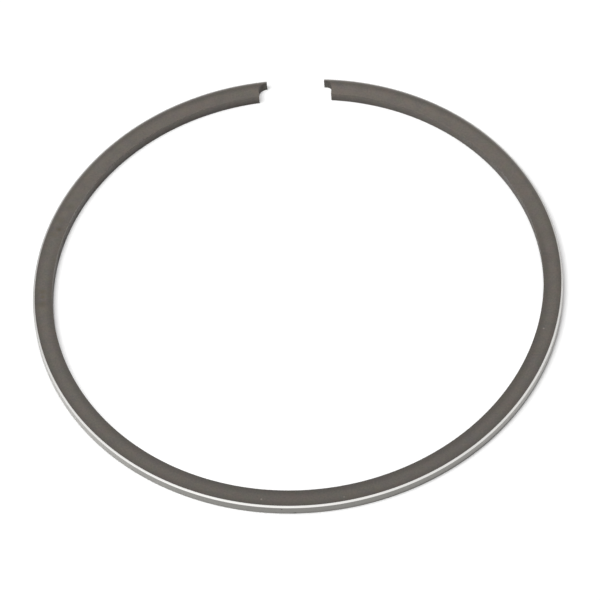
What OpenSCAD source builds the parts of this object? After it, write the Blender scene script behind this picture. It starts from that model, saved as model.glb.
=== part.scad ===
// Piston ring in its free, sprung-open form, lying flat with the gap towards +Y.
// It is turned so that it closes to a true circle in the bore. Out of the bore each limb opens along
// a chain of tangent arcs, which are flattest opposite the gap. Both ends are notched on the inside
// for the locating pin in the piston groove.

/* [Ring] */
// Cylinder bore that the ring closes to
bore_d = 66.4; // [40:0.1:100]
// Radial width of the section
radial_w = 2.55; // [1.8:0.05:3.5]
// Axial height of the section
axial_h = 1.5; // [1:0.05:2.5]

/* [End gap] */
// Gap between the ends when the ring is in its bore
closed_gap = 0.3; // [0.1:0.05:0.8]
// Gap between the ends of the free ring, along the middle of its width
free_gap = 7.55; // [4:0.05:12]

/* [Edges] */
// Chamfer on the upper outer edge
outer_chamfer = 0.24; // [0.1:0.01:0.35]
// Break on the other three edges
edge_break = 0.03; // [0.02:0.01:0.15]

/* [Pin notch] */
// Radial thickness of the tooth outside the notch
tooth_t = 0.45; // [0.4:0.01:0.8]
// Depth of the notch along the left end
left_notch_l = 1.23; // [0.8:0.01:1.6]
// Corner radius of the notch in the left end
left_notch_r = 1.15; // [0.3:0.01:1.2]
// Depth of the notch along the right end
right_notch_l = 1.1; // [0.8:0.01:1.6]
// Corner radius of the notch in the right end
right_notch_r = 0.78; // [0.3:0.01:1.2]

/* [Hidden] */

// Segments of a full turn
$fn = 360;
// Turn that each arc of the free form takes up
arc_step = 30;
// Angle by which each arc laps over the next, so that they join
lap = 0.000001;
// Direction of the back of the ring, opposite its gap
back_angle = -90;
// Overshoot of a cutter past the faces that it cuts through
overcut = 1;
// Degrees in one radian
radian = 180 / PI;

half_w = radial_w / 2;
closed_r = bore_d / 2 - half_w;

// How far a limb opens: its curvature falls short of the closed one by the share slack * (1 + cos(a)) at
// the closed turn a from the back. The gap then opens by (3 * slack + 2.5 * slack^2) * PI * closed_r,
// which is solved here for slack.
slack = (sqrt(9 + 10 * (free_gap - closed_gap) / (PI * closed_r)) - 3) / 5;

// Turn of a free limb where the closed limb has turned by a, both measured from the back
function free_turn(a) = a - slack * (a + radian * sin(a));
// Closed turn that belongs to a free turn, found by repeated substitution
function closed_turn(a, guess = 0, rounds = 12) =
    rounds == 0 ? guess : closed_turn(a, a + slack * (guess + radian * sin(guess)), rounds - 1);

tip_turn = free_turn(180 - radian * closed_gap / 2 / closed_r);
arc_count = ceil(tip_turn / arc_step);

function micron(x) = round(x * 1000) / 1000;
function outward(turn) = [sin(turn), -cos(turn)];
function arc_start(i) = min(i * arc_step, tip_turn);
function arc_sweep(i) = arc_start(i + 1) - arc_start(i);
// Mean radius of the middle of the section along one arc: the arc keeps its closed length
function arc_r(i) =
    micron(closed_r * (closed_turn(arc_start(i + 1)) - closed_turn(arc_start(i))) / arc_sweep(i));
// Step from the centre of one arc to the centre of the next, along their common radius
function centre_step(i) = (arc_r(i) - arc_r(i + 1)) * outward(arc_start(i + 1));
function centre(i) = i == 0 ? [0, 0] : centre(i - 1) + centre_step(i - 1);

tip_arc = arc_count - 1;
tip_point = centre(tip_arc) + arc_r(tip_arc) * outward(tip_turn);
back_y = -arc_r(0) - half_w;
front_y = tip_point.y + half_w * outward(tip_turn).y;

// Section of the ring at radius r: x is the radius, y the height
module section(r) {
    outline = [
        [-half_w + edge_break, 0],
        [half_w - edge_break, 0],
        [half_w, edge_break],
        [half_w, axial_h - outer_chamfer],
        [half_w - outer_chamfer, axial_h],
        [-half_w + edge_break, axial_h],
        [-half_w, axial_h - edge_break],
        [-half_w, edge_break]
    ];
    polygon([for (p = outline) [micron(r + p.x), micron(p.y)]]);
}

// Arcs of one limb from number i to the tip, each set on the end of the one before
module limb(i = 0) {
    last = i == tip_arc;
    rotate_extrude(angle = arc_sweep(i) + (last ? 0 : lap), start = back_angle + arc_start(i))
        section(arc_r(i));
    if (!last)
        translate(centre_step(i))
            limb(i + 1);
}

// Plan of a notch: x runs out of the end, y outwards across the width
module notch_plan(length, corner_r) {
    r = min(corner_r, length);
    floor_y = half_w - tooth_t;
    inside_y = -half_w - overcut;
    translate([r - length, inside_y])
        square([length - r + overcut, floor_y - inside_y]);
    translate([-length, inside_y])
        square([length + overcut, floor_y - r - inside_y]);
    translate([r - length, floor_y - r])
        circle(r);
}

// One limb with the notch cut in its end
module notched_limb(notch_l, notch_r) {
    difference() {
        limb();
        translate([tip_point.x, tip_point.y, -overcut])
            rotate(tip_turn)
                mirror([0, 1])
                    linear_extrude(axial_h + 2 * overcut)
                        notch_plan(notch_l, notch_r);
    }
}

module piston_ring() {
    color("dimgray")
        translate([0, -(back_y + front_y) / 2, 0]) {
            notched_limb(right_notch_l, right_notch_r);
            mirror([1, 0])
                notched_limb(left_notch_l, left_notch_r);
        }
}

piston_ring();
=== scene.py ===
import math

import bmesh
import bpy
from mathutils import Matrix, Vector


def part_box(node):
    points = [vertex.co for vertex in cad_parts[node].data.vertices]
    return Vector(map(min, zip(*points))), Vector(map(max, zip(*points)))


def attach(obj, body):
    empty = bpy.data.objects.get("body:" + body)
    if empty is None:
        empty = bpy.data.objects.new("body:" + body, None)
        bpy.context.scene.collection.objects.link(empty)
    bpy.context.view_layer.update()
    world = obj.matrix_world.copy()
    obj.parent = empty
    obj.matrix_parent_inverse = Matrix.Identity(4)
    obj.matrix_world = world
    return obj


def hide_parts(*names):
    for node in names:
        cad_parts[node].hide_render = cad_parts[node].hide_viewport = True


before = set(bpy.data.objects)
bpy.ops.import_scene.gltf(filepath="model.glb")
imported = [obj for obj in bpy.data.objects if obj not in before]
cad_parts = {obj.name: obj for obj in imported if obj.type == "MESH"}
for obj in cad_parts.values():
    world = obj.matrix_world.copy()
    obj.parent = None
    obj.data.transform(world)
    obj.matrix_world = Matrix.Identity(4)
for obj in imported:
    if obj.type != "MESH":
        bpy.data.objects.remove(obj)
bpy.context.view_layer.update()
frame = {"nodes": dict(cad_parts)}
print("frame loaded:", ", ".join(frame["nodes"]))

millimetre = 0.001
pureWhite = (1, 1, 1, 1)
noiseMiddle = 0.5  # a noise texture wanders about this value
noiseSpan = (0.3, 0.7)  # and mostly stays between these
mixSockets = {"first": 6, "second": 7, "mixed": 2}  # a Mix node's colour sockets share names with its others


class Wire:  # one output in a node tree; sums and products of wires become Math nodes

    def __init__(self, tree, socket):
        self.tree = tree
        self.socket = socket

    def does(self, operation, *others):
        return mathWire(self.tree, operation, self, *others)

    def __add__(self, other):
        return self.does("ADD", other)

    def __sub__(self, other):
        return self.does("SUBTRACT", other)

    def __rsub__(self, other):
        return mathWire(self.tree, "SUBTRACT", other, self)

    def __mul__(self, other):
        return self.does("MULTIPLY", other)

    def __truediv__(self, other):
        return self.does("DIVIDE", other)

    def __rtruediv__(self, other):
        return mathWire(self.tree, "DIVIDE", other, self)

    def __neg__(self):
        return self.does("MULTIPLY", -1)

    def over(self, limit):  # 1 where the wire is above the limit, else 0
        return self.does("GREATER_THAN", limit)

    def tint(self, factor):  # a colour times a value or another colour
        return vectorWire(self.tree, "MULTIPLY", self, factor)


def plug(tree, socket, value):
    if isinstance(value, Wire):
        tree.links.new(value.socket, socket)
    else:
        socket.default_value = value


def addNode(tree, kind, inputs, **settings):
    node = tree.nodes.new(kind)
    for name, value in settings.items():
        setattr(node, name, value)
    for key, value in inputs.items():
        plug(tree, node.inputs[key], value)
    return node


def wire(tree, kind, inputs=None, out=0, **settings):
    return Wire(tree, addNode(tree, kind, inputs or {}, **settings).outputs[out])


def mathWire(tree, operation, *parts):
    return wire(tree, "ShaderNodeMath", dict(enumerate(parts)), operation=operation)


def vectorWire(tree, operation, *parts, out=0):
    return wire(tree, "ShaderNodeVectorMath", dict(enumerate(parts)), out, operation=operation)


def joinXyz(tree, x, y, z):
    return wire(tree, "ShaderNodeCombineXYZ", {"X": x, "Y": y, "Z": z})


def axisOf(vector, axis):
    return wire(vector.tree, "ShaderNodeSeparateXYZ", {0: vector}, out=axis)


def spread(value, fromLow, fromHigh, toLow=0, toHigh=1):  # smooth change from one range to another
    ranges = {"Value": value, "From Min": fromLow, "From Max": fromHigh, "To Min": toLow, "To Max": toHigh}
    return wire(value.tree, "ShaderNodeMapRange", ranges, interpolation_type="SMOOTHSTEP")


def noiseAt(place, scale, detail, out=0):
    return wire(place.tree, "ShaderNodeTexNoise", {"Vector": place, "Scale": scale, "Detail": detail}, out)


def mixColours(share, first, second, blend="MIX"):
    inputs = {"Factor": share, mixSockets["first"]: first, mixSockets["second"]: second}
    return wire(share.tree, "ShaderNodeMix", inputs, mixSockets["mixed"], data_type="RGBA", blend_type=blend)


# camera: looks down on the ring from the side away from its gap, a little from the right
cameraView = {
    "azimuth": 4.006,
    "elevation": 55.307,
    "roll": 5.449,
    "distance": 597.16 * millimetre,
    "lens": 274.84,
    "aim": (0.253 * millimetre, -1.148 * millimetre, 0),
}


def directionTo(azimuth, elevation):
    a, e = math.radians(azimuth), math.radians(elevation)
    return Vector((math.sin(a) * math.cos(e), -math.cos(a) * math.cos(e), math.sin(e)))


def makeCamera(view):
    back = directionTo(view["azimuth"], view["elevation"])
    flatRight = Vector((0, 0, 1)).cross(back).normalized()
    roll = Matrix.Rotation(-math.radians(view["roll"]), 3, back)
    right = roll @ flatRight
    up = back.cross(right)
    data = bpy.data.cameras.new("photoCamera")
    data.lens = view["lens"]
    camera = bpy.data.objects.new("photoCamera", data)
    turn = Matrix((right, up, back)).transposed().to_4x4()
    camera.matrix_world = Matrix.Translation(Vector(view["aim"]) + back * view["distance"]) @ turn
    bpy.context.scene.collection.objects.link(camera)
    bpy.context.scene.camera = camera


makeCamera(cameraView)
print("camera placed")

# soft patches, fine grain and wandering hue, which both finishes have
metalMottle = {
    "patchDetail": 3,
    "grainDetail": 2,
    "tintDetail": 4,
    "tintGrains": 4,  # a patch of one hue is this many grains wide
}


def makeMottleGroup(look):
    tree = bpy.data.node_groups.new("metalMottle", "ShaderNodeTree")
    sizes = ("Patch Size", "Grain Size", "Tint Depth")
    for name in sizes:
        tree.interface.new_socket(name=name, in_out="INPUT", socket_type="NodeSocketFloat")
    for name, kind in (("Patches", "Float"), ("Grain", "Float"), ("Tint", "Color")):
        tree.interface.new_socket(name=name, in_out="OUTPUT", socket_type="NodeSocket" + kind)
    start = tree.nodes.new("NodeGroupInput")
    patch, grain, depth = (Wire(tree, start.outputs[name]) for name in sizes)
    place = wire(tree, "ShaderNodeTexCoord", out="Object")
    hue = noiseAt(place, (1 / look["tintGrains"]) / grain, look["tintDetail"], "Color")
    hue = vectorWire(tree, "SUBTRACT", hue, (noiseMiddle, noiseMiddle, noiseMiddle))
    results = {
        "Patches": noiseAt(place, 1 / patch, look["patchDetail"]),
        "Grain": noiseAt(place, 1 / grain, look["grainDetail"]),
        "Tint": vectorWire(tree, "MULTIPLY_ADD", hue, depth, (1, 1, 1)),
    }
    end = tree.nodes.new("NodeGroupOutput")
    for name, result in results.items():
        plug(tree, end.inputs[name], result)
    return tree


def placeMottle(tree, group, patch, grain, tintDepth):
    inputs = {"Patch Size": patch, "Grain Size": grain, "Tint Depth": tintDepth}
    node = addNode(tree, "ShaderNodeGroup", inputs, node_tree=group)
    return {socket.name: Wire(tree, socket) for socket in node.outputs}


def startMaterial(name):
    material = bpy.data.materials.new(name)
    material.use_nodes = True
    tree = material.node_tree
    return material, tree, tree.nodes["Principled BSDF"]


def placeOnRing(tree, name):  # attribute of the ring: lengths along it, or shares of its half width
    return wire(tree, "ShaderNodeAttribute", out="Fac", attribute_name=name)


def spotMask(along, aside, spot):  # 1 in the middle of a spot, fading to 0 at its reach
    spotAlong, spotAside, reach = (length * millimetre for length in spot)
    away = joinXyz(along.tree, along - spotAlong, aside - spotAside, 0)
    return spread(vectorWire(along.tree, "LENGTH", away, out="Value"), 0, reach, 1, 0)


def finishSurface(tree, shader, look, colour, sheen, relief):
    plug(tree, shader.inputs["Base Color"], colour)
    plug(tree, shader.inputs["Roughness"], spread(sheen, *noiseSpan, *look["roughness"]))
    bump = {"Height": relief, "Distance": look["bumpDepth"], "Strength": look["bumpStrength"]}
    plug(tree, shader.inputs["Normal"], wire(tree, "ShaderNodeBump", bump))


# the dark coated iron of the sides, the inner face and the notches
coatedIron = {
    "darkTone": (0.109, 0.0985, 0.087, 1),
    "lightTone": (0.137, 0.1195, 0.1025, 1),
    "toneNoise": (0.36, 0.64),  # noise at the dark tone and at the light one
    "patchShare": 0.45,  # of that noise, the rest is grain
    "patch": 1.6 * millimetre,
    "grain": 0.25 * millimetre,
    "tintDepth": 0.22,
    "grindTurn": -17,  # degrees from the side to side line of the ring
    "grindMark": (2.5 * millimetre, 0.12 * millimetre, 2.5 * millimetre),
    "grindDetail": 2,
    "grindDepth": 0.06,
    "stainTone": (0.81, 0.765, 0.62, 1),  # multiplies the tone
    "stains": (  # mm along, mm across, mm of reach, depth
        (-52.35, 0.0, 0.65, 1.0), (-51.5, 0.0, 0.5, 1.0), (-50.4, 0.05, 0.85, 1.0),
        (-62.6, -0.25, 0.8, 1.0), (-62.5, -0.3, 0.5, 0.8), (-64.0, 0.05, 0.9, 0.6),
        (-61.6, 0.1, 0.8, 0.6), (-66.4, -0.2, 1.0, 0.55),
    ),
    "stainGrain": (0.35, 0.6),  # grain at which a stain is faintest and deepest
    "stainLeast": 0.4,
    "speckTone": (0.285, 0.25, 0.22, 1),
    "specks": ((-4.8, 0.22, 0.19), (5.6, 0.45, 0.14), (43.4, -0.42, 0.18)),  # mm along, across, reach
    "paintedLimbLight": (1.19, 0.80, 1.08),  # painted light falloff, multiplies the tone at the right end, the back and the left end
    "limbLength": 100 * millimetre,
    "boreStart": 0.99,  # share of the half width at which the inner face begins
    "shadedBore": (0.61, 1.38),  # painted shade, multiplies the tone of the inner face, from its foot to its top
    "brightBore": (0.93, 1.08),  # and the same painted shade on the right, lighter there
    "brightBoreStart": (0, 40 * millimetre),
    "brightBoreEnd": (75 * millimetre, 100 * millimetre),
    "brightBoreTip": 0.3,  # share of it that is left at the tip
    "rimTone": (0.72, 0.72, 0.72, 1),  # painted shade, multiplies the tone beside the long edges
    "rimStart": (0.1, 0.85),
    "innerRimEnds": (52 * millimetre, 68 * millimetre),  # the inner rim's shade fades out towards the gap
    "outerRimEnds": (70 * millimetre, 95 * millimetre),  # and the outer rim's shade widens there
    "rimShift": 0.3,
    # tone of the painted highlight on the inner edge and of the paler outer band
    "highlightAndPaleTone": (0.258, 0.244, 0.226, 1),
    "innerHighlight": 0.75,  # a thin painted highlight along the left inner edge
    "innerHighlightStart": (0.94, 0.98),
    "innerHighlightEnds": ((46 * millimetre, 56 * millimetre), (62 * millimetre, 76 * millimetre)),
    "highlightRise": 0.55,  # it lies where the surface looks up or down by more than this
    "outerLighter": 0.62,  # the outer part of the upper side is paler towards the gap
    "outerLighterStart": (0.56, 0.82),
    "outerLighterEnds": (55 * millimetre, 75 * millimetre),
    "roughness": (0.50, 0.68),
    "specular": 0.3,
    "bumpDepth": 0.004 * millimetre,
    "bumpStrength": 0.6,
}


def ironSkin(look, skin, place):  # mottled tone, with faint straight marks of the grinding wheel
    mottling = skin["Patches"] * look["patchShare"] + skin["Grain"] * (1 - look["patchShare"])
    colour = mixColours(spread(mottling, *look["toneNoise"]), look["darkTone"], look["lightTone"])
    turn = (0, 0, math.radians(look["grindTurn"]))
    turned = wire(place.tree, "ShaderNodeMapping",
                  {"Vector": place, "Rotation": turn, "Scale": look["grindMark"]}, vector_type="TEXTURE")
    marks = noiseAt(turned, 1, look["grindDetail"])
    return colour.tint(skin["Tint"]).tint((marks - noiseMiddle) * look["grindDepth"] + 1)


def addSpots(look, skin, colour, along, aside):  # brown stains, broken up by the grain, and light specks
    for *spot, depth in look["stains"]:
        broken = spread(skin["Grain"], *look["stainGrain"], depth * look["stainLeast"], depth)
        colour = mixColours(spotMask(along, aside, spot) * broken, colour, look["stainTone"], "MULTIPLY")
    for spot in look["specks"]:
        colour = mixColours(spotMask(along, aside, spot), colour, look["speckTone"])
    return colour


def paintedLimbFalloff(look, along):  # painted light falloff, darker opposite the gap
    rightEnd, back, leftEnd = look["paintedLimbLight"]
    reach = along / look["limbLength"]
    rightRise = reach.does("MAXIMUM", 0) * (rightEnd - back)
    leftRise = -reach.does("MINIMUM", 0) * (leftEnd - back)
    return rightRise + leftRise + back


def paintedBoreShade(look, along, across, height, axialHeight):  # painted shade, darker low on the inner face, less on the right
    shaded, bright = (spread(height, 0, axialHeight, *look[side]) for side in ("shadedBore", "brightBore"))
    share = spread(along, *look["brightBoreStart"])
    share = share * spread(along, *look["brightBoreEnd"], 1, look["brightBoreTip"])
    shade = shaded + share * (bright - shaded)
    inBore = (-across).over(look["boreStart"])
    return inBore * (shade - 1) + 1


def paintedRimShade(look, along, across):  # painted shade beside the long edges
    fade, shift = (spread(along.does("ABSOLUTE"), *look[ends]) for ends in ("innerRimEnds", "outerRimEnds"))
    inner = spread(-across, *look["rimStart"]) * (1 - fade)
    outer = spread(across + shift * look["rimShift"], *look["rimStart"])
    return inner + outer


def highlightAndPaleShare(look, along, across):  # painted highlight along the left inner edge, and a paler band by the outer edge towards the gap
    normal = wire(along.tree, "ShaderNodeTexCoord", out="Normal")
    begins, ends = look["innerHighlightEnds"]
    inner = spread(-across, *look["innerHighlightStart"], 0, look["innerHighlight"])
    inner = inner * axisOf(normal, "Z").does("ABSOLUTE").over(look["highlightRise"])
    inner = inner * spread(-along, *begins) * spread(-along, *ends, 1, 0)
    outer = spread(across, *look["outerLighterStart"], 0, look["outerLighter"])
    return inner + outer * spread(along.does("ABSOLUTE"), *look["outerLighterEnds"])


def makeCoatedIron(look, mottle, sizes):
    material, tree, shader = startMaterial("coatedIron")
    skin = placeMottle(tree, mottle, look["patch"], look["grain"], look["tintDepth"])
    along, across = (placeOnRing(tree, name) for name in ("along", "across"))
    place = wire(tree, "ShaderNodeTexCoord", out="Object")
    colour = ironSkin(look, skin, place)
    colour = addSpots(look, skin, colour, along, across * (sizes["Radial Width"] / 2))
    # painted light falloff, painted shade on the inner face and the rims, and a painted highlight on the
    # left inner edge
    colour = colour.tint(paintedLimbFalloff(look, along))
    colour = colour.tint(paintedBoreShade(look, along, across, axisOf(place, "Z"), sizes["Axial Height"]))
    colour = mixColours(paintedRimShade(look, along, across), colour, look["rimTone"], "MULTIPLY")
    colour = mixColours(highlightAndPaleShare(look, along, across), colour, look["highlightAndPaleTone"])
    finishSurface(tree, shader, look, colour, skin["Patches"], skin["Grain"])
    shader.inputs["Specular IOR Level"].default_value = look["specular"]
    return material


# the bright running face and its chamfer
runningFace = {
    "slantBlend": 0.5,  # at this blend, 0 is square on and 1 is edge on
    "wallTones": ((0.212, 0.2075, 0.194, 1), (0.378, 0.368, 0.348, 1)),  # metal tone with a painted reflection, seen square on, and aslant
    "wallSlants": (0.43, 0.82),
    # the chamfer's tones hold a painted reflection too, lighter square on
    "chamferTones": ((0.87, 0.86, 0.836, 1), (0.53, 0.522, 0.507, 1)),
    "chamferSlants": (0.24, 0.54),
    "chamferFade": 0.02 * millimetre,  # height over which the wall runs into the chamfer
    "paintedSideReflection": ((-64, -54, 0.86, 1), (20, 40, 1, 1.13), (69, 79, 1, 0.84)),  # painted reflection, duller at the far left and by the right tip, brighter on the right: mm along, tone before, after
    "paintedFootShade": 0.35,  # painted shade, multiplies the tone along the foot of the wall, towards the right
    "footReach": 0.4 * millimetre,
    "footStart": (0, 25 * millimetre),
    "footEnd": (38 * millimetre, 52 * millimetre),
    "nickTone": (0.15, 0.15, 0.145, 1),
    "nicks": ((-2.2, 1.0, 0.17), (-0.6, 0.1, 0.28), (43.6, 0.2, 0.35)),  # mm along, height, reach
    "patch": 2.5 * millimetre,
    "tintDepth": 0.06,
    "lineGap": 0.05 * millimetre,
    "lineDetail": 2,
    "lineShare": 0.6,  # of the shading, the rest is patches
    "lineShades": (0.94, 1.04),  # multiplies the tone
    "roughness": (0.26, 0.38),
    "metallic": 1,
    "bumpDepth": 0.001 * millimetre,
    "bumpStrength": 0.5,
}


def paintedSlantReflection(look, slant, height, chamferFoot):  # metal tone of the wall and of the chamfer above it, with a painted reflection that changes with the slant
    wall, chamfer = (mixColours(spread(slant, *look[part + "Slants"]), *look[part + "Tones"])
                     for part in ("wall", "chamfer"))
    onChamfer = spread(height, chamferFoot, chamferFoot + look["chamferFade"])
    return mixColours(onChamfer, wall, chamfer)


def reflectionShadeAndNicks(look, colour, along, height):  # painted reflection in duller and brighter stretches, painted shade along the foot, and nicks
    for begin, end, before, after in look["paintedSideReflection"]:
        colour = colour.tint(spread(along, begin * millimetre, end * millimetre, before, after))
    foot = spread(height, 0, look["footReach"], 1, 0)
    foot = foot * spread(along, *look["footStart"]) * spread(along, *look["footEnd"], 1, 0)
    colour = colour.tint(foot * (look["paintedFootShade"] - 1) + 1)
    for spot in look["nicks"]:
        colour = mixColours(spotMask(along, height, spot), colour, look["nickTone"], "MULTIPLY")
    return colour


def makeRunningFace(look, mottle, sizes):
    material, tree, shader = startMaterial("runningFace")
    skin = placeMottle(tree, mottle, look["patch"], look["lineGap"], look["tintDepth"])
    along = placeOnRing(tree, "along")
    height = axisOf(wire(tree, "ShaderNodeTexCoord", out="Object"), "Z")
    slant = wire(tree, "ShaderNodeLayerWeight", {"Blend": look["slantBlend"]}, out="Facing")
    # painted reflection by slant and along the ring, and painted shade along the foot
    colour = paintedSlantReflection(look, slant, height, sizes["Axial Height"] - sizes["Outer Chamfer"])
    colour = reflectionShadeAndNicks(look, colour, along, height).tint(skin["Tint"])
    # lapping lines run round the face, so their noise is read along the height alone
    lines = noiseAt(joinXyz(tree, 0, 0, height / look["lineGap"]), 1, look["lineDetail"])
    shade = lines * look["lineShare"] + skin["Patches"] * (1 - look["lineShare"])
    colour = colour.tint(spread(shade, *noiseSpan, *look["lineShades"]))
    finishSurface(tree, shader, look, colour, lines, lines)
    shader.inputs["Metallic"].default_value = look["metallic"]
    return material


# the ring in its free form, opened out at the gap; what begins with a capital is an input of its tree
ring = {
    "boreDiameter": 66.4 * millimetre,
    "closedGap": 0.3 * millimetre,
    "freeGap": 7.55 * millimetre,
    "Radial Width": 2.55 * millimetre,
    "Outer Chamfer": 0.24 * millimetre,
    "Edge Break": 0.03 * millimetre,
    "Break Steps": 1,
    "Edge Softness": 0.012 * millimetre,
    "Softness Steps": 2,
    "Shoulder": 0.035 * millimetre,
    "Tooth": 0.45 * millimetre,
    "Left Notch Length": 1.23 * millimetre,
    "Left Notch Radius": 1.15 * millimetre,
    "Right Notch Length": 1.1 * millimetre,
    "Right Notch Radius": 0.78 * millimetre,
    "Notch Steps": 24,
    "Overcut": 1.0 * millimetre,
    "Merge Reach": 0.0001 * millimetre,
    "Stations": 961,
    "Crisp Angle": math.radians(6),  # edges that turn more than this stay sharp
    "Bright Facing": 0.5,  # faces that look outwards by more than this are running face
}


def ringValues(ring):
    lowest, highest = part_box("piston_ring")
    halfWidth = ring["Radial Width"] / 2
    closedRadius = ring["boreDiameter"] / 2 - halfWidth
    opening = (ring["freeGap"] - ring["closedGap"]) / (math.pi * closedRadius)
    plain, squared = 3, 2.5  # opening = plain * slack + squared * slack ** 2, solved here for slack
    values = {name: value for name, value in ring.items() if name[0].isupper()}
    values["Axial Height"] = highest.z - lowest.z
    values["Back Y"] = halfWidth - highest.y  # the box is centred on the origin
    values["Middle Radius"] = closedRadius
    values["Slack"] = (math.sqrt(plain ** 2 + 4 * squared * opening) - plain) / (2 * squared)
    values["Tip Angle"] = math.pi - ring["closedGap"] / 2 / closedRadius
    return values


def startRingTree(values):
    tree = bpy.data.node_groups.new("sprungRing", "GeometryNodeTree")
    kinds = {int: "NodeSocketInt", float: "NodeSocketFloat", bpy.types.Material: "NodeSocketMaterial"}
    for name, value in values.items():
        tree.interface.new_socket(name=name, in_out="INPUT", socket_type=kinds[type(value)])
    tree.interface.new_socket(name="Ring", in_out="OUTPUT", socket_type="NodeSocketGeometry")
    start = tree.nodes.new("NodeGroupInput")
    return tree, {name: Wire(tree, start.outputs[name]) for name in values}


def freeTurn(closedTurn, slack):  # turn of the free ring where the closed ring has turned that far
    return closedTurn - slack * (closedTurn + closedTurn.does("SINE"))


def sampleAt(points, index, value, kind="FLOAT_VECTOR"):
    inputs = {"Geometry": points, "Index": index, "Value": value}
    return wire(points.tree, "GeometryNodeSampleIndex", inputs, data_type=kind)


def ringPath(tree, size):  # the middle of the section, summed up from short steps
    index = wire(tree, "GeometryNodeInputIndex")
    last = size["Stations"] - 1
    step = size["Tip Angle"] * 2 / last
    closedTurn = index * step - size["Tip Angle"]
    turn = freeTurn(closedTurn - step / 2, size["Slack"])  # at the middle of the step before a station
    stretch = size["Middle Radius"] * step
    move = joinXyz(tree, turn.does("COSINE") * stretch, turn.does("SINE") * stretch, 0)
    summed = wire(tree, "GeometryNodeAccumulateField", {"Value": move}, data_type="FLOAT_VECTOR")
    middle = wire(tree, "GeometryNodeFieldAtIndex", {"Value": summed, "Index": last / 2},
                  data_type="FLOAT_VECTOR")
    backPoint = joinXyz(tree, 0, size["Back Y"], 0)
    place = vectorWire(tree, "ADD", vectorWire(tree, "SUBTRACT", summed, middle), backPoint)
    line = wire(tree, "GeometryNodeCurvePrimitiveLine")
    points = wire(tree, "GeometryNodeResampleCurve", {"Curve": line, "Count": size["Stations"]})
    path = wire(tree, "GeometryNodeSetPosition", {"Geometry": points, "Position": place})
    path = wire(tree, "GeometryNodeSetCurveNormal", {"Curve": path}, mode="Z_UP")
    return path, closedTurn


def cutCorners(tree, outline, steps, radius, limited):  # one step is a chamfer, more make a round
    inputs = {"Curve": outline, "Count": steps, "Radius": radius, "Limit Radius": limited}
    return wire(tree, "GeometryNodeFilletCurve", inputs, mode="POLY")


def ringSection(tree, size):  # x outwards, y down from the upper side to the lower
    box = wire(tree, "GeometryNodeCurvePrimitiveQuadrilateral",
               {"Width": size["Radial Width"], "Height": size["Axial Height"]})
    corner = wire(tree, "GeometryNodeInputPosition")
    x, y = (axisOf(corner, axis) for axis in "XY")
    outerTop = x.over(0) * (-y).over(0)
    cut = size["Edge Break"] + outerTop * (size["Outer Chamfer"] - size["Edge Break"])
    edges = cutCorners(tree, box, size["Break Steps"], cut, False)
    soft = cutCorners(tree, edges, size["Softness Steps"], size["Edge Softness"], True)
    # the upper side falls away a little towards the chamfer
    shoulder = outerTop * ((size["Outer Chamfer"] - size["Axial Height"]) / 2 - y).over(0)
    drop = joinXyz(tree, 0, shoulder * size["Shoulder"], 0)
    soft = wire(tree, "GeometryNodeSetPosition", {"Geometry": soft, "Offset": drop})
    lift = joinXyz(tree, 0, size["Axial Height"] / -2, 0)
    return wire(tree, "GeometryNodeTransform", {"Geometry": soft, "Translation": lift})


def notchPlan(tree, size, name, side):  # x along the ring from its tip, y inwards across the width
    length = size[name + " Notch Length"]
    overcut = size["Overcut"]
    halfWidth = size["Radial Width"] / 2
    floorY = size["Tooth"] - halfWidth
    insideY = halfWidth + overcut
    plan = wire(tree, "GeometryNodeCurvePrimitiveQuadrilateral",
                {"Width": length + overcut, "Height": insideY - floorY})
    corner = wire(tree, "GeometryNodeInputPosition")
    x, y = (axisOf(corner, axis) for axis in "XY")
    deepCorner = (x * -side).over(0) * (-y).over(0)
    plan = cutCorners(tree, plan, size["Notch Steps"], deepCorner * size[name + " Notch Radius"], True)
    shift = joinXyz(tree, (overcut - length) * (side / 2), (floorY + insideY) / 2, 0)
    return wire(tree, "GeometryNodeTransform", {"Geometry": plan, "Translation": shift})


def notchCutter(tree, size, spine, tipTurn, name, side):  # side: 1 for the right end, -1 for the left
    depth = {"Start": joinXyz(tree, 0, 0, -size["Overcut"]),
             "End": joinXyz(tree, 0, 0, size["Axial Height"] + size["Overcut"])}
    stem = wire(tree, "GeometryNodeCurvePrimitiveLine", depth)
    sweep = {"Curve": stem, "Profile Curve": notchPlan(tree, size, name, side), "Fill Caps": True}
    block = wire(tree, "GeometryNodeCurveToMesh", sweep)
    block = wire(tree, "GeometryNodeMergeByDistance", {"Geometry": block, "Distance": size["Merge Reach"]})
    tipIndex = (size["Stations"] - 1) * max(side, 0)
    tip = sampleAt(spine, tipIndex, wire(tree, "GeometryNodeInputPosition"))
    spin = joinXyz(tree, 0, 0, tipTurn * side)
    return wire(tree, "GeometryNodeTransform", {"Geometry": block, "Translation": tip, "Rotation": spin})


def storePlace(tree, size, body, spine, closedTurn):  # along from the back, across from the middle line
    here = wire(tree, "GeometryNodeInputPosition")
    nearest = wire(tree, "GeometryNodeSampleNearest", {"Geometry": spine, "Sample Position": here})
    closed = sampleAt(spine, nearest, closedTurn, "FLOAT")
    turn = freeTurn(closed, size["Slack"])
    forward = joinXyz(tree, turn.does("COSINE"), turn.does("SINE"), 0)
    outward = joinXyz(tree, turn.does("SINE"), -turn.does("COSINE"), 0)
    offset = vectorWire(tree, "SUBTRACT", here, sampleAt(spine, nearest, here))
    ahead, aside = (vectorWire(tree, "DOT_PRODUCT", offset, way, out="Value") for way in (forward, outward))
    places = {"along": closed * size["Middle Radius"] + ahead, "across": aside / (size["Radial Width"] / 2)}
    for name, value in places.items():
        inputs = {"Geometry": body, "Name": name, "Value": value}
        body = wire(tree, "GeometryNodeStoreNamedAttribute", inputs)
    return body, outward


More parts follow.
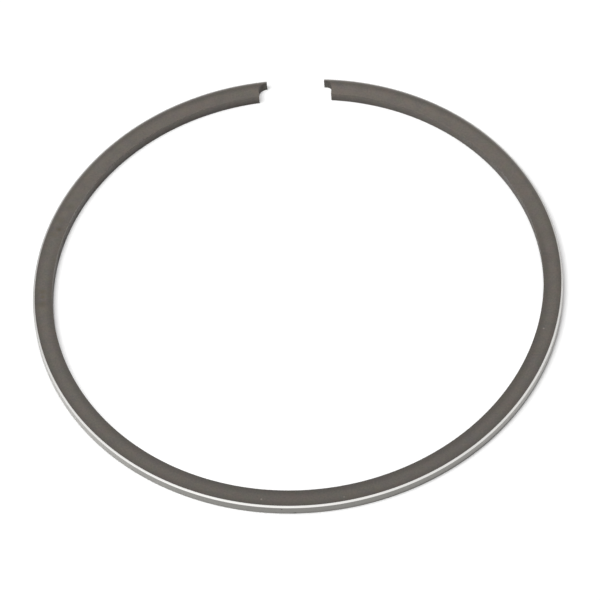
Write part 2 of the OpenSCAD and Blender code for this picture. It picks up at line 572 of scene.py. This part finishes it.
def buildRingTree(values):
    tree, size = startRingTree(values)
    path, closedTurn = ringPath(tree, size)
    sweep = {"Curve": path, "Profile Curve": ringSection(tree, size), "Fill Caps": True}
    body = wire(tree, "GeometryNodeCurveToMesh", sweep)
    spine = wire(tree, "GeometryNodeCurveToMesh", {"Curve": path})
    tipTurn = freeTurn(size["Tip Angle"], size["Slack"])
    cut = addNode(tree, "GeometryNodeMeshBoolean", {"Mesh 1": body}, operation="DIFFERENCE", solver="EXACT")
    for name, side in (("Right", 1), ("Left", -1)):
        plug(tree, cut.inputs["Mesh 2"], notchCutter(tree, size, spine, tipTurn, name, side))
    body, outward = storePlace(tree, size, Wire(tree, cut.outputs["Mesh"]), spine, closedTurn)

    # edges stay crisp across the section and smooth along the ring
    sharp = wire(tree, "GeometryNodeInputMeshEdgeAngle").over(size["Crisp Angle"])
    body = wire(tree, "GeometryNodeSetShadeSmooth", {"Geometry": body, "Shade Smooth": True}, domain="FACE")
    crisp = {"Geometry": body, "Selection": sharp, "Shade Smooth": False}
    body = wire(tree, "GeometryNodeSetShadeSmooth", crisp, domain="EDGE")

    facing = vectorWire(tree, "DOT_PRODUCT", wire(tree, "GeometryNodeInputNormal"), outward, out="Value")
    bright = facing.over(size["Bright Facing"])
    body = wire(tree, "GeometryNodeRealizeInstances", {"Geometry": body})
    body = wire(tree, "GeometryNodeSetMaterial", {"Geometry": body, "Material": size["Side Finish"]})
    body = wire(tree, "GeometryNodeSetMaterial",
                {"Geometry": body, "Selection": bright, "Material": size["Running Finish"]})
    plug(tree, tree.nodes.new("NodeGroupOutput").inputs["Ring"], body)
    return tree


def makeRing(values):
    tree = buildRingTree(values)
    piece = bpy.data.objects.new("ringBody", bpy.data.meshes.new("ringBody"))
    bpy.context.scene.collection.objects.link(piece)
    sweep = piece.modifiers.new("sprungRing", "NODES")
    sweep.node_group = tree
    for item in tree.interface.items_tree:
        if item.in_out == "INPUT":
            sweep[item.identifier] = values[item.name]
    graph = bpy.context.evaluated_depsgraph_get()
    swept = piece.evaluated_get(graph)
    mesh = bpy.data.meshes.new_from_object(swept, preserve_all_data_layers=True, depsgraph=graph)
    mesh.materials.pop(index=0)  # the empty slot that the notches' cut leaves
    piece.modifiers.clear()
    piece.data = mesh
    return piece


values = ringValues(ring)
mottle = makeMottleGroup(metalMottle)
values["Side Finish"] = makeCoatedIron(coatedIron, mottle, values)
values["Running Finish"] = makeRunningFace(runningFace, mottle, values)
ringBody = makeRing(values)
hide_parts("piston_ring")
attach(ringBody, "root")
print("ring swept:", len(ringBody.data.polygons), "faces,", len(ringBody.data.materials), "finishes")

# white sweep that the ring lies on, and the studio round it
studio = {
    "floorRadius": 1.5,
    "floorSides": 96,
    "floorDrop": 0.005 * millimetre,
    "floorTone": (0.75, 0.75, 0.75, 1),
    "floorLift": (0.35, 0.95),  # round the ring, and far off where the lamps' light falls short
    "liftReach": (0.08, 0.7),
    "contactReach": 0.3 * millimetre,  # painted contact shadow: the lift fades by a share this close to the ring's foot
    "contactShares": (0.4, 0.9),  # at the front and the gap, and at the sides
    "contactSides": (16 * millimetre, 26 * millimetre),
    "ambient": 0.1,
    "mirrorLevel": 0.8,
    "mirrorFall": (-0.05, -0.19, 0),  # what the metal mirrors is brightest to the front left
    "lamps": {
        "leftSoftbox": {"azimuth": -73, "elevation": 70, "distance": 0.6, "size": 0.35, "level": 0.75},
        "topSoftbox": {"azimuth": 120, "elevation": 84, "distance": 0.5, "size": 0.25, "level": 0.25},
    },
}


def seenDirectly(tree):  # 1 for what the camera, a mirror or glass shows, 0 for light that falls on things
    path = tree.nodes.new("ShaderNodeLightPath")
    camera, glossy, through = (Wire(tree, path.outputs["Is " + kind + " Ray"])
                               for kind in ("Camera", "Glossy", "Transmission"))
    return camera.does("MAXIMUM", glossy).does("MAXIMUM", through), glossy


def makeWhiteSweep(studio):
    material, tree, shader = startMaterial("whiteSweep")
    shader.inputs["Base Color"].default_value = studio["floorTone"]
    shader.inputs["Roughness"].default_value = 1
    shader.inputs["Specular IOR Level"].default_value = 0
    shader.inputs["Emission Color"].default_value = pureWhite
    place = wire(tree, "ShaderNodeTexCoord", out="Object")
    away = vectorWire(tree, "LENGTH", place, out="Value")
    lift = spread(away, *studio["liftReach"], *studio["floorLift"])
    clear = wire(tree, "ShaderNodeAmbientOcclusion", {"Distance": studio["contactReach"]}, out="AO")
    aside = axisOf(place, "X").does("ABSOLUTE")
    share = spread(aside, *studio["contactSides"], *studio["contactShares"])
    # painted contact shadow, the lift dims where the floor is occluded near the ring
    lift = lift * ((clear - 1) * share + 1)
    seen, _ = seenDirectly(tree)
    plug(tree, shader.inputs["Emission Strength"], seen * lift)
    return material


def makeFloor(studio):
    shape = bmesh.new()
    sides, radius = studio["floorSides"], studio["floorRadius"]
    bmesh.ops.create_circle(shape, cap_ends=True, segments=sides, radius=radius)
    mesh = bpy.data.meshes.new("floor")
    shape.to_mesh(mesh)
    shape.free()
    mesh.transform(Matrix.Translation((0, 0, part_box("piston_ring")[0].z - studio["floorDrop"])))
    mesh.materials.append(makeWhiteSweep(studio))
    floor = bpy.data.objects.new("floor", mesh)
    bpy.context.scene.collection.objects.link(floor)


def makeWorld(studio):
    world = bpy.data.worlds.new("studio")
    world.use_nodes = True
    tree = world.node_tree
    seen, glossy = seenDirectly(tree)
    direction = wire(tree, "ShaderNodeTexCoord", out="Generated")
    fall = vectorWire(tree, "DOT_PRODUCT", direction, studio["mirrorFall"], out="Value")
    shown = glossy * (fall + studio["mirrorLevel"] - 1) + 1  # white, and a little less in the metal
    sky = tree.nodes["Background"]
    sky.inputs["Color"].default_value = pureWhite
    plug(tree, sky.inputs["Strength"], seen * (shown - studio["ambient"]) + studio["ambient"])
    bpy.context.scene.world = world


def makeLamp(name, lamp):
    data = bpy.data.lights.new(name, "AREA")
    data.shape = "DISK"
    data.size = lamp["size"]
    # a white face at the origin, turned to the lamp, shows the level
    data.energy = lamp["level"] * (math.pi * lamp["distance"]) ** 2
    place = directionTo(lamp["azimuth"], lamp["elevation"])
    item = bpy.data.objects.new(name, data)
    item.location = place * lamp["distance"]
    item.rotation_euler = place.to_track_quat("Z", "Y").to_euler()
    bpy.context.scene.collection.objects.link(item)


makeFloor(studio)
makeWorld(studio)
for name, lamp in studio["lamps"].items():
    makeLamp(name, lamp)
bpy.context.scene.view_settings.view_transform = "Standard"
print("studio lit with", len(studio["lamps"]), "lamps")
